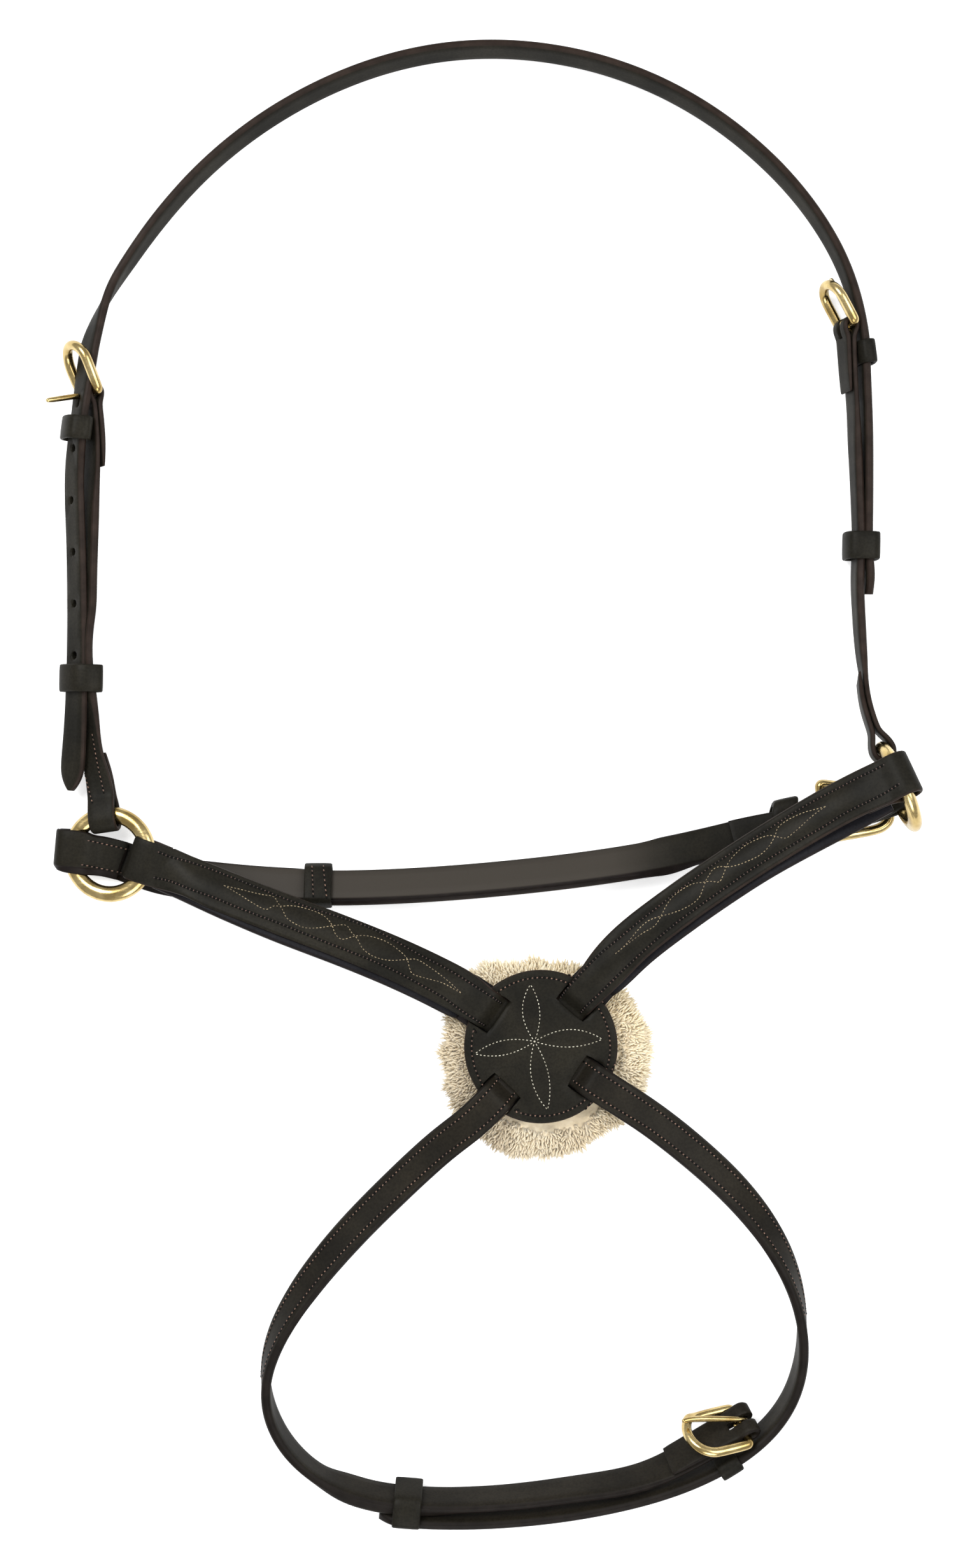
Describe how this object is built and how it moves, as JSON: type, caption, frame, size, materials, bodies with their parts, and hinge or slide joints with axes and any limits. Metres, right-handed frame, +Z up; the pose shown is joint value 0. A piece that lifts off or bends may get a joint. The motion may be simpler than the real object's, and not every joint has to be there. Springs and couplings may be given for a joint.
{
  "type": "noseband",
  "caption": "Figure-eight horse noseband in dark leather: head strap, padded nose straps crossing under a stitched disc on a sheepskin pad, jaw and lower straps, brass rings and buckles.",
  "frame": {"origin": "centre of the bounding box in plan, at the surface that the noseband lies on", "axes": "+Z up, out of the surface it lies on; +Y from the lower strap to the head strap; +X to the right in the picture"},
  "size_m": [0.4068, 0.7036, 0.0574],
  "materials": {
    "cross_disc": "very dark brown bridle leather, waxed satin",
    "disc_backing": "very dark brown bridle leather, waxed satin",
    "head_strap": "very dark brown bridle leather, waxed satin",
    "jaw_billet": "very dark brown bridle leather, waxed satin",
    "jaw_buckle": "polished pale gold brass",
    "jaw_fixed_keeper": "very dark brown bridle leather, waxed satin",
    "jaw_runner_keeper": "very dark brown bridle leather, waxed satin",
    "jaw_strap": "very dark brown bridle leather, waxed satin",
    "jaw_tongue": "polished pale gold brass",
    "left_cheek_buckle": "polished pale gold brass",
    "left_cheek_strap": "very dark brown bridle leather, waxed satin",
    "left_cheek_tongue": "polished pale gold brass",
    "left_fixed_keeper": "very dark brown bridle leather, waxed satin",
    "left_nose_backing": "very dark brown bridle leather, waxed satin",
    "left_nose_strap": "very dark brown bridle leather, waxed satin",
    "left_ring": "polished pale gold brass",
    "left_runner_keeper": "very dark brown bridle leather, waxed satin",
    "lower_buckle": "polished pale gold brass",
    "lower_fixed_keeper": "very dark brown bridle leather, waxed satin",
    "lower_left_strap": "very dark brown bridle leather, waxed satin",
    "lower_right_strap": "very dark brown bridle leather, waxed satin",
    "lower_runner_keeper": "very dark brown bridle leather, waxed satin",
    "lower_tongue": "polished pale gold brass",
    "right_cheek_buckle": "polished pale gold brass",
    "right_cheek_strap": "very dark brown bridle leather, waxed satin",
    "right_cheek_tongue": "polished pale gold brass",
    "right_fixed_keeper": "very dark brown bridle leather, waxed satin",
    "right_nose_backing": "very dark brown bridle leather, waxed satin",
    "right_nose_strap": "very dark brown bridle leather, waxed satin",
    "right_ring": "polished pale gold brass",
    "right_runner_keeper": "very dark brown bridle leather, waxed satin",
    "sheepskin_pad": "cream sheepskin wool pile"
  },
  "bodies": {
    "harness": {"cross_disc": "cross_disc", "disc_backing": "disc_backing", "head_strap": "head_strap", "jaw_billet": "jaw_billet", "jaw_fixed_keeper": "jaw_fixed_keeper", "jaw_strap": "jaw_strap", "left_cheek_strap": "left_cheek_strap", "left_fixed_keeper": "left_fixed_keeper", "left_nose_backing": "left_nose_backing", "left_nose_strap": "left_nose_strap", "lower_fixed_keeper": "lower_fixed_keeper", "lower_left_strap": "lower_left_strap", "lower_right_strap": "lower_right_strap", "right_cheek_strap": "right_cheek_strap", "right_fixed_keeper": "right_fixed_keeper", "right_nose_backing": "right_nose_backing", "right_nose_strap": "right_nose_strap", "sheepskin_pad": "sheepskin_pad"},
    "left_ring_body": {"left_ring": "left_ring"},
    "right_ring_body": {"right_ring": "right_ring"},
    "left_cheek_frame": {"left_cheek_buckle": "left_cheek_buckle"},
    "left_cheek_pin": {"left_cheek_tongue": "left_cheek_tongue"},
    "right_cheek_frame": {"right_cheek_buckle": "right_cheek_buckle"},
    "right_cheek_pin": {"right_cheek_tongue": "right_cheek_tongue"},
    "lower_frame": {"lower_buckle": "lower_buckle"},
    "lower_pin": {"lower_tongue": "lower_tongue"},
    "jaw_frame": {"jaw_buckle": "jaw_buckle"},
    "jaw_pin": {"jaw_tongue": "jaw_tongue"},
    "left_runner": {"left_runner_keeper": "left_runner_keeper"},
    "right_runner": {"right_runner_keeper": "right_runner_keeper"},
    "jaw_runner": {"jaw_runner_keeper": "jaw_runner_keeper"},
    "lower_runner": {"lower_runner_keeper": "lower_runner_keeper"}
  },
  "joints": [
    {"name": "left_ring_turn", "type": "hinge", "parent": "harness", "child": "left_ring_body", "pos_m": [-0.17629, -0.03273, 0.0101], "axis": [-0.1908, 0, 0.9816], "continuous": true},
    {"name": "right_ring_turn", "type": "hinge", "parent": "harness", "child": "right_ring_body", "pos_m": [0.19251, -0.00073, 0.03094], "axis": [-0.9225, -0.3859, 0], "continuous": true},
    {"name": "left_cheek_frame_swing", "type": "hinge", "parent": "harness", "child": "left_cheek_frame", "pos_m": [-0.18509, 0.18487, 0.01074], "axis": [0.5406, 0.0664, 0.8387], "range_deg": [0, 10]},
    {"name": "left_cheek_pin_swing", "type": "hinge", "parent": "harness", "child": "left_cheek_pin", "pos_m": [-0.18509, 0.18487, 0.01074], "axis": [0.5406, 0.0664, 0.8387], "range_deg": [-3, 3]},
    {"name": "right_cheek_frame_swing", "type": "hinge", "parent": "harness", "child": "right_cheek_frame", "pos_m": [0.16931, 0.21647, 0.01024], "axis": [-0.2741, -0.0288, -0.9613], "range_deg": [-70, 5]},
    {"name": "right_cheek_pin_swing", "type": "hinge", "parent": "right_cheek_frame", "child": "right_cheek_pin", "pos_m": [0.16931, 0.21647, 0.01024], "axis": [-0.2741, -0.0288, -0.9613], "range_deg": [0, 15]},
    {"name": "lower_frame_swing", "type": "hinge", "parent": "harness", "child": "lower_frame", "pos_m": [0.12331, -0.29953, 0.01424], "axis": [-0.3489, 0.6562, -0.6691], "range_deg": [0, 80]},
    {"name": "lower_pin_swing", "type": "hinge", "parent": "lower_frame", "child": "lower_pin", "pos_m": [0.12331, -0.29953, 0.01424], "axis": [-0.3489, 0.6562, -0.6691], "range_deg": [0, 20]},
    {"name": "jaw_frame_swing", "type": "hinge", "parent": "harness", "child": "jaw_frame", "pos_m": [0.15801, -0.01623, 0.01236], "axis": [-0.2419, 0.9703, 0], "range_deg": [0, 2]},
    {"name": "jaw_pin_swing", "type": "hinge", "parent": "jaw_frame", "child": "jaw_pin", "pos_m": [0.15801, -0.01623, 0.01236], "axis": [-0.2419, 0.9703, 0], "range_deg": [0, 1.5]},
    {"name": "left_runner_slide", "type": "slide", "parent": "harness", "child": "left_runner", "axis": [0.0173, 0.9999, 0], "range_m": [-0.012, 0.012]},
    {"name": "right_runner_slide", "type": "slide", "parent": "harness", "child": "right_runner", "axis": [-0.0161, -0.9999, 0], "range_m": [-0.012, 0.012]},
    {"name": "jaw_runner_slide", "type": "slide", "parent": "harness", "child": "jaw_runner", "axis": [1, -0.0006, 0], "range_m": [-0.002, 0.012]},
    {"name": "lower_runner_slide", "type": "slide", "parent": "harness", "child": "lower_runner", "axis": [-0.9971, 0.0763, 0], "range_m": [-0.012, 0.012]}
  ]
}
